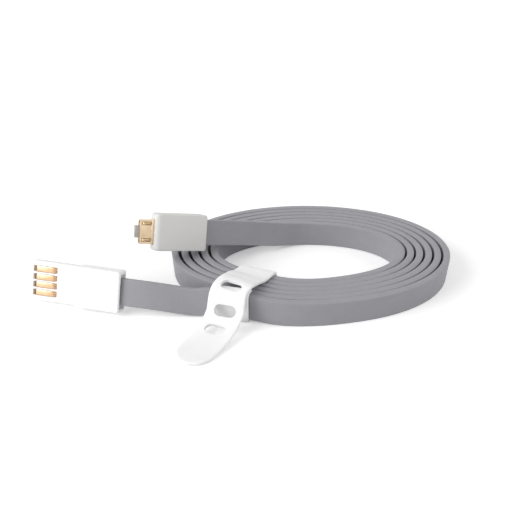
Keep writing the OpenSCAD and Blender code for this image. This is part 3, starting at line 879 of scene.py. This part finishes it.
def add_housing(plug, sizes, nose_radius, openings, material, pose):
    for label, side in (("front", 1), ("back", -1)):
        name = f"{plug}_housing_{label}"
        piece = housing_half(f"{name}_moulding", sizes, side, nose_radius, openings, material)
        piece.data.transform(pose)
        finish_mesh(piece, material)
        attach(piece, "cable")
        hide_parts(name)


class CABLE_OT_usb_a_housing(bpy.types.Operator):
    """Both halves of the USB-A plug's housing"""

    bl_idname = "cable.usb_a_housing"
    bl_label = "USB-A housing"

    def execute(self, context):
        sizes = settings().usb_a
        finish = moulded_finish("white_gloss_plastic", sizes.tint, 0.32)
        pose, _ = plug_poses()
        rear = (sizes.housing_width - 2 * HOUSING_WALL, sizes.housing_thickness - 2 * HOUSING_WALL)
        front = (sizes.neck_width + OPENING_GAP, sizes.tongue_thickness + OPENING_GAP)
        add_housing("usb_a", sizes, HOUSING_FILLET, (rear, front), finish, pose)
        grey = grommet_finish("grey_grommet")
        grommet = softened_part("usb_a_rear_grommet", "moulding", SOFT_EDGE, grey)
        section = (settings().ribbon.jacket_thickness, settings().ribbon.width)
        through, across = [about(0, (size + OPENING_GAP) / 2) for size in section]
        cut_box(grommet, (-OVERREACH, GROMMET_HOLE), through, across, pose)
        finish_mesh(grommet, grey)
        return {"FINISHED"}


class CABLE_OT_micro_usb_housing(bpy.types.Operator):
    """Both halves of the micro-USB plug's housing"""

    bl_idname = "cable.micro_usb_housing"
    bl_label = "Micro-USB housing"

    def execute(self, context):
        sizes, ribbon = settings().micro, settings().ribbon
        finish = moulded_finish("grey_white_plastic", sizes.tint, 0.38)
        _, pose = plug_poses()
        rear = (ribbon.width + 2 * OPENING_GAP, ribbon.jacket_thickness + 2 * OPENING_GAP)
        front = (sizes.shell_width + OPENING_GAP, sizes.shell_thickness + OPENING_GAP)
        add_housing("micro_usb", sizes, sizes.nose_radius, (rear, front), finish, pose)
        return {"FINISHED"}


# ------ small hard parts
SAME_PLACE = 0.002 * MM
FLAT_ANGLE = radians(1)


def softened_part(node, suffix, width, material, body="cable"):
    """A copy of a CAD node with its flat faces made whole and its edges rounded, in the node's place."""
    bm = bmesh.new()
    bm.from_mesh(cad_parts[node].data)
    bmesh.ops.remove_doubles(bm, verts=bm.verts, dist=SAME_PLACE)
    bmesh.ops.dissolve_limit(bm, angle_limit=FLAT_ANGLE, verts=bm.verts, edges=bm.edges)
    soften_edges(bm, width)
    piece = add_piece(f"{node}_{suffix}", bm, material)
    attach(piece, body)
    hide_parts(node)
    return piece


CONTACTS = ("power", "data_minus", "data_plus", "ground")
USB_A_PINS = [z * MM for z in (3.4, 1.1, -1.1, -3.4)]
CONTACT_WIDTH = 1.6 * MM
CONTACT_THICKNESS = 0.3 * MM
CONTACT_STEPS = 3
CONTACT_SHARP_ABOVE = 40
PAD_LENGTH = 5.9 * MM
PAD_EDGE = 1.0 * MM
DIMPLE = 0.8 * MM
DIMPLE_HALF_WIDTH = 0.85 * MM
DIMPLE_BOTTOM = -0.5 * MM
REAR_DIMPLE_SHIFT = -0.45 * MM
CONTACT_TAIL = 6.9 * MM
CONTACT_EDGE = 0.07 * MM
CONTACT_CROWN = 0.03 * MM

# Heights along a contact strip in millimetres: its tail, the two low places, and how far the pad is sunk
TAIL_HEIGHT = 0.7
DIP = 0.25
LOW = -0.3
PAD_SUNK = 0.04


class CABLE_OT_usb_a_tongue(bpy.types.Operator):
    """Tongue of the USB-A plug with its four gilt contacts"""

    bl_idname = "cable.usb_a_tongue"
    bl_label = "USB-A tongue"

    def execute(self, context):
        sizes = settings().usb_a
        white = moulded_finish("white_gloss_plastic", sizes.tint, 0.32)
        pose, _ = plug_poses()
        tongue = softened_part("usb_a_tongue", "moulding", TONGUE_EDGE, white)
        face = sizes.tongue_thickness / 2
        pad_front = sizes.housing_length + sizes.tongue_length - PAD_EDGE
        pad_rear = pad_front - PAD_LENGTH
        for z in USB_A_PINS:
            for middle in (pad_front, pad_rear + REAR_DIMPLE_SHIFT):
                along, across = about(middle, DIMPLE / 2), about(z, DIMPLE_HALF_WIDTH)
                cut_box(tongue, along, (DIMPLE_BOTTOM, face + OVERREACH), across, pose)
        finish_mesh(tongue, white)
        gold = gilt_finish("gilt_contact_metal", sizes.gilt, 0.3, (12, 1, 1))
        for contact, z in zip(CONTACTS, USB_A_PINS):
            piece = self.add_contact(f"usb_a_contact_{contact}_strip", z, pad_rear, pad_front, face, gold)
            piece.data.transform(pose)
            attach(piece, "cable")
            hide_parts(f"usb_a_contact_{contact}")
        return {"FINISHED"}

    def add_contact(self, name, z, pad_rear, pad_front, face, gold):
        """A gilt strip: a crowned pad almost level with the tongue, whose two ends dip into recesses."""
        top = (face - CONTACT_THICKNESS / 2) / MM - PAD_SUNK
        at_rear = (
            (-3.4, TAIL_HEIGHT), (-2.9, TAIL_HEIGHT - 0.05), (-1.6, LOW), (-0.4, LOW), (-0.1, DIP),
            (0.05, top - 0.35), (0.25, top - 0.08), (0.7, top),
        )
        at_front = ((-1.2, top), (-0.75, top - 0.04), (-0.45, top - 0.25), (-0.25, DIP), (-0.2, 0.05))
        path = [Vector((settings().usb_a.housing_length - CONTACT_TAIL, TAIL_HEIGHT * MM, 0))]
        for end, stations in ((pad_rear, at_rear), (pad_front, at_front)):
            path += [Vector((end + x * MM, y * MM, 0)) for x, y in stations]
        line = smooth_line(path, CONTACT_STEPS)
        rings = []
        for i, p in enumerate(line):
            ahead = direction(line, i)
            across = Vector((-ahead.y, ahead.x, 0))
            rings.append([p + across * v + Vector((0, 0, z + u)) for u, v in self.contact_profile()])
        return add_piece(name, sweep(rings), gold, CONTACT_SHARP_ABOVE)

    def contact_profile(self):
        """Points (across, through) round the strip, crowned on its outer face."""
        half, thick, edge = CONTACT_WIDTH / 2, CONTACT_THICKNESS / 2, CONTACT_EDGE
        shares = [k / 4 for k in (3, 2, 1, 0, -1, -2, -3)]
        crown = [(half * share, thick + CONTACT_CROWN * (1 - share**2)) for share in shares]
        corners = [(half, -thick + edge), (half, thick - edge), (half - edge, thick)]
        return corners + crown + [
            (-half + edge, thick), (-half, thick - edge), (-half, -thick + edge), (-half + edge, -thick),
            (half - edge, -thick),
        ]


class CABLE_OT_micro_usb_head(bpy.types.Operator):
    """Shell, contact carrier, latches and contacts of the micro-USB plug"""

    bl_idname = "cable.micro_usb_head"
    bl_label = "Micro-USB head"

    def execute(self, context):
        sizes = settings().micro
        gold = gilt_finish("gilt_shell_metal", sizes.gilt, 0.34, (1, 10, 1))
        softened_part("micro_usb_shell", "formed", SOFT_EDGE, gold)
        nylon = nylon_finish("grey_nylon", NYLON_GREY, 0.5)
        softened_part("micro_usb_insulator", "moulding", SOFT_EDGE, nylon)
        # The latches get the darkened gilt: painted shade of their windows in the shell
        spring = gilt_finish("gilt_latch_metal", LATCH_GILT_PAINTED_SHADE, 0.5, (1, 10, 1))
        for label in ("upper", "lower"):
            node, body = f"micro_usb_latch_{label}", f"{label}_latch"
            softened_part(node, "spring", SPRING_EDGE, spring, body)
        gold_pins = gilt_finish("gilt_contact_metal", settings().usb_a.gilt, 0.3, (12, 1, 1))
        for contact in CONTACTS + ("id",):
            softened_part(f"micro_usb_contact_{contact}", "strip", SPRING_EDGE, gold_pins)
        return {"FINISHED"}


CORE_TINTS = {
    "red": (0.55, 0.03, 0.03), "white": (0.80, 0.80, 0.78),
    "green": (0.04, 0.30, 0.08), "black": (0.02, 0.02, 0.02),
}


class CABLE_OT_plug_insides(bpy.types.Operator):
    """Core ends and solder inside the two plugs, and the clamp in the smaller one"""

    bl_idname = "cable.plug_insides"
    bl_label = "Plug insides"

    def execute(self, context):
        solder = dull_metal_finish("tin_solder", (0.68, 0.68, 0.70), 0.3, 0.1)
        steel = dull_metal_finish("stamped_steel", (0.55, 0.55, 0.56), 0.4, 0.2)
        for plug in ("usb_a", "micro_usb"):
            for shade, tint in CORE_TINTS.items():
                self.repaint(f"{plug}_wire_{shade}", nylon_finish(f"core_{shade}", tint, 0.4))
            self.repaint(f"{plug}_solder_joints", solder)
        self.repaint("micro_usb_cable_clamp", steel)
        return {"FINISHED"}

    def repaint(self, node, material):
        finish_mesh(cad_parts[node], material)


# ------ strap
STRAP_EDGE = 0.3 * MM
NARROWEST_EDGE = 0.98
STRAP_CORNER_STEPS = 3
STRAP_STEPS = 4
SLOT_STATIONS = (2, 7, 10)
TAIL_TIP_STEPS = 12
FACE_PARTS = 12
TIP_BLUNTNESS = 0.4
SLOT_STEPS = 16
SLOT_CUT = 1.5
BUNDLE_PLAY = 0.6


class StrapPlaces:
    """Places of the strap's stations, as (in, along, up) in millimetres, worked out as in the CAD source."""

    def __init__(self):
        s = settings()
        self.origin, self.inward, self.side = strap_axes()
        half = s.strap.thickness / 2 / MM
        gap = s.strap.gap / MM
        self.low = half
        self.out = -gap - half
        self.top = (s.ribbon.width + strap_lift() - SETTLE_DROP) / MM
        self.over = self.top + gap + half
        self.bundle = ((PASSES - 1) * s.coil.pitch_front + s.ribbon.core_thickness) / MM + BUNDLE_PLAY
        self.lift = (strap_lift() - SETTLE_DROP) / MM

    def aslant(self, inward, height):
        return (inward, inward * tan(radians(STRAP_TURN)), height)

    def band(self):
        """Stations and turns of the band: head end, front, under the bundle, up in the hole, over the top."""
        low, out, top, over, bundle = self.low, self.out, self.top, self.over, self.bundle
        line = [
            (1.95, 0.5, over + 0.36), (1.0, 0.25, over + 0.32), (0.1, 0.05, over + 0.08),
            (out + 0.12, 0, over - 0.5), (out, 0, over - 1.5), (out, 0, top * 0.5),
            (out, 0, self.lift + 0.25), (out + 0.25, 0.05, low + 0.27), (out + 0.9, 0.2, low),
            (out + 1.5, 0.4, low), (4, 1.4, low), self.aslant(8, low),
        ]
        in_hole = (
            (-0.9, low), (-0.2, low), (0.8, low + 0.45), (1.25, low + 1.5), (1.25, top / 2),
            (1.15, top - 1.2), (0.85, top - 0.1), (-0.1, over - 0.12), (-1.8, over), (-4.2, over + 0.3),
        )
        line += [self.aslant(bundle + x, z) for x, z in in_hole]
        line += [self.aslant(6.6, over + 1.1), self.crest()]
        turns = [4, 3, 1, 0, 0, 0, 0, 2, 5, 6, 15, 20, 18, 15, 10, 10, 10, 10, 10, 13, 16, 20]
        return line, turns + [STRAP_TURN, STRAP_TURN]

    def crest(self):
        return self.aslant(4.6, self.over + 1.6)

    def tail(self):
        """Stations and turns of the tail, from the crest down the front to its round tip."""
        low, out, over = self.low, self.out, self.over
        line = [
            self.crest(), self.aslant(2.8, over + 1.9), (0.9, 0.3, over + 1.6),
            (out + 0.2, -0.1, over + 1.1), (out - 1.05, -0.3, over + 0.2),
            (out - 1.8, -0.4, over - 1.1), (out - 2.15, -0.5, over - 2.4),
            (out - 2.6, -0.6, over - 3.6), (out - 3.8, -1, low + 3.3), (out - 5.6, -1.5, low + 2.25),
            (out - 7.8, -2.2, low + 1.5), (out - 10, -3, low + 0.95), (out - 13, -4.3, low + 0.45),
            (out - 16.2, -6, low + 0.15), (out - 19.9, -8.2, low),
        ]
        turns = [STRAP_TURN, 21, 18, 14, 11, 8, 6, 6, 7, 9, 12, 16, 20, 25, 28]
        return line, turns

    def smooth(self, stations, turns):
        places = [self.origin + (self.inward * x + self.side * y + UP * z) * MM for x, y, z in stations]
        return smooth_turning(places, turns, STRAP_STEPS)


def strap_profile(half_width):
    """Points (across, through) round the strap's section."""
    half_thick = settings().strap.thickness / 2
    radius = min(STRAP_EDGE, half_width * NARROWEST_EDGE)
    points = []
    for cx, cz, start in ((1, 1, 0), (-1, 1, 90), (-1, -1, 180), (1, -1, 270)):
        for k in range(STRAP_CORNER_STEPS + 1):
            a = radians(start + 90 * k / STRAP_CORNER_STEPS)
            x = cx * (half_width - radius) + radius * cos(a)
            points.append((x, cz * (half_thick - radius) + radius * sin(a)))
        if start in (90, 270):
            continue
        x0, x1 = points[-1][0], -points[-1][0]
        points += [(x0 + (x1 - x0) * k / FACE_PARTS, points[-1][1]) for k in range(1, FACE_PARTS)]
    return points


def strap_frames(line, turns, side):
    """Centre, ahead, width and thickness directions of the strap along a fine line."""
    frames = []
    for i, p in enumerate(line):
        wide = turned(side, -turns[i])
        thick = direction(line, i).cross(wide).normalized()
        frames.append((p, wide.cross(thick), wide, thick))
    return frames


def strap_ring(station, half_width):
    p, _, wide, thick = station
    return on_table([p + wide * x + thick * z for x, z in strap_profile(half_width)])


def slot_cutter(matrix):
    """Stadium-shaped cutter of a fastening slot: X along the strap, Y across it and Z through it."""
    strap = settings().strap
    radius, reach = strap.slot_width / 2, (strap.slot_length - strap.slot_width) / 2
    depth = SLOT_CUT * strap.thickness
    outline = []
    for side in (1, -1):
        for k in range(SLOT_STEPS + 1):
            a = radians(90 * (1 - side) + 180 * k / SLOT_STEPS)
            outline.append((radius * cos(a), side * reach + radius * sin(a)))
    return sweep([[matrix @ Vector((x, y, z)) for x, y in outline] for z in (-depth, depth)])


class CABLE_OT_strap_band(bpy.types.Operator):
    """Band of the strap, round the bundle of turns"""

    bl_idname = "cable.strap_band"
    bl_label = "Strap band"

    def execute(self, context):
        places = StrapPlaces()
        frames = strap_frames(*places.smooth(*places.band()), places.side)
        bm = sweep([strap_ring(f, settings().strap.width / 2) for f in frames])
        white = silicone_finish("white_silicone")
        piece = add_piece("strap_band_moulding", bm, white, SOFT_SHARP_ABOVE)
        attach(piece, "cable")
        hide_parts("strap_band")
        return {"FINISHED"}


class CABLE_OT_strap_tail(bpy.types.Operator):
    """Tail of the strap with its slots and round tip"""

    bl_idname = "cable.strap_tail"
    bl_label = "Strap tail"

    def execute(self, context):
        places = StrapPlaces()
        line, turns = places.smooth(*places.tail())
        half_width = settings().strap.width / 2
        frames = strap_frames(line, turns, places.side)
        tip = line[-1]
        rings = [strap_ring(f, half_width) for f in frames if (f[0] - tip).length > half_width]
        back = (line[-1 - STRAP_STEPS] - tip).normalized()
        _, _, wide, thick = frames[-1]
        for k in range(1, TAIL_TIP_STEPS + 1):
            a = pi / 2 * k / (TAIL_TIP_STEPS + TIP_BLUNTNESS)
            station = (tip + back * half_width * (1 - sin(a)), -back, wide, thick)
            rings.append(strap_ring(station, half_width * cos(a)))
        white = silicone_finish("white_silicone")
        piece = add_piece("strap_tail_moulding", sweep(rings), white, SOFT_SHARP_ABOVE)
        for i in SLOT_STATIONS:
            p, ahead, wide, thick = frames[i * STRAP_STEPS]
            matrix = Matrix((ahead, wide, thick)).transposed().to_4x4()
            matrix.translation = p
            cut(piece, slot_cutter(matrix))
        finish_mesh(piece, white, SOFT_SHARP_ABOVE)
        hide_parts("strap_tail")
        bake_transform(piece)
        return {"FINISHED"}


# ------ add-on
class CABLE_PT_pieces(bpy.types.Panel):
    """Lists the operators that build the cable"""

    bl_idname = "CABLE_PT_pieces"
    bl_label = "Charging cable"
    bl_space_type = "VIEW_3D"
    bl_region_type = "UI"
    bl_category = "Cable"

    def draw(self, context):
        for operator in OPERATORS:
            self.layout.operator(operator.bl_idname)


GROUPS = (RibbonSizes, CoilSizes, UsbASizes, MicroUsbSizes, StrapSizes, StageLevels, CableSettings)
OPERATORS = (
    CABLE_OT_stage, CABLE_OT_ribbon, CABLE_OT_usb_a_housing, CABLE_OT_usb_a_tongue,
    CABLE_OT_micro_usb_housing, CABLE_OT_micro_usb_head, CABLE_OT_plug_insides,
    CABLE_OT_strap_band, CABLE_OT_strap_tail,
)
CLASSES = GROUPS + OPERATORS + (CABLE_PT_pieces,)


def register():
    for item in CLASSES:
        bpy.utils.register_class(item)
    bpy.types.Scene.charging_cable = PointerProperty(type=CableSettings, name="Charging cable")


def unregister():
    del bpy.types.Scene.charging_cable
    for item in reversed(CLASSES):
        bpy.utils.unregister_class(item)


def main():
    register()
    for operator in OPERATORS:
        family, name = operator.bl_idname.split(".")
        getattr(getattr(bpy.ops, family), name)()


if __name__ == "__main__":
    main()
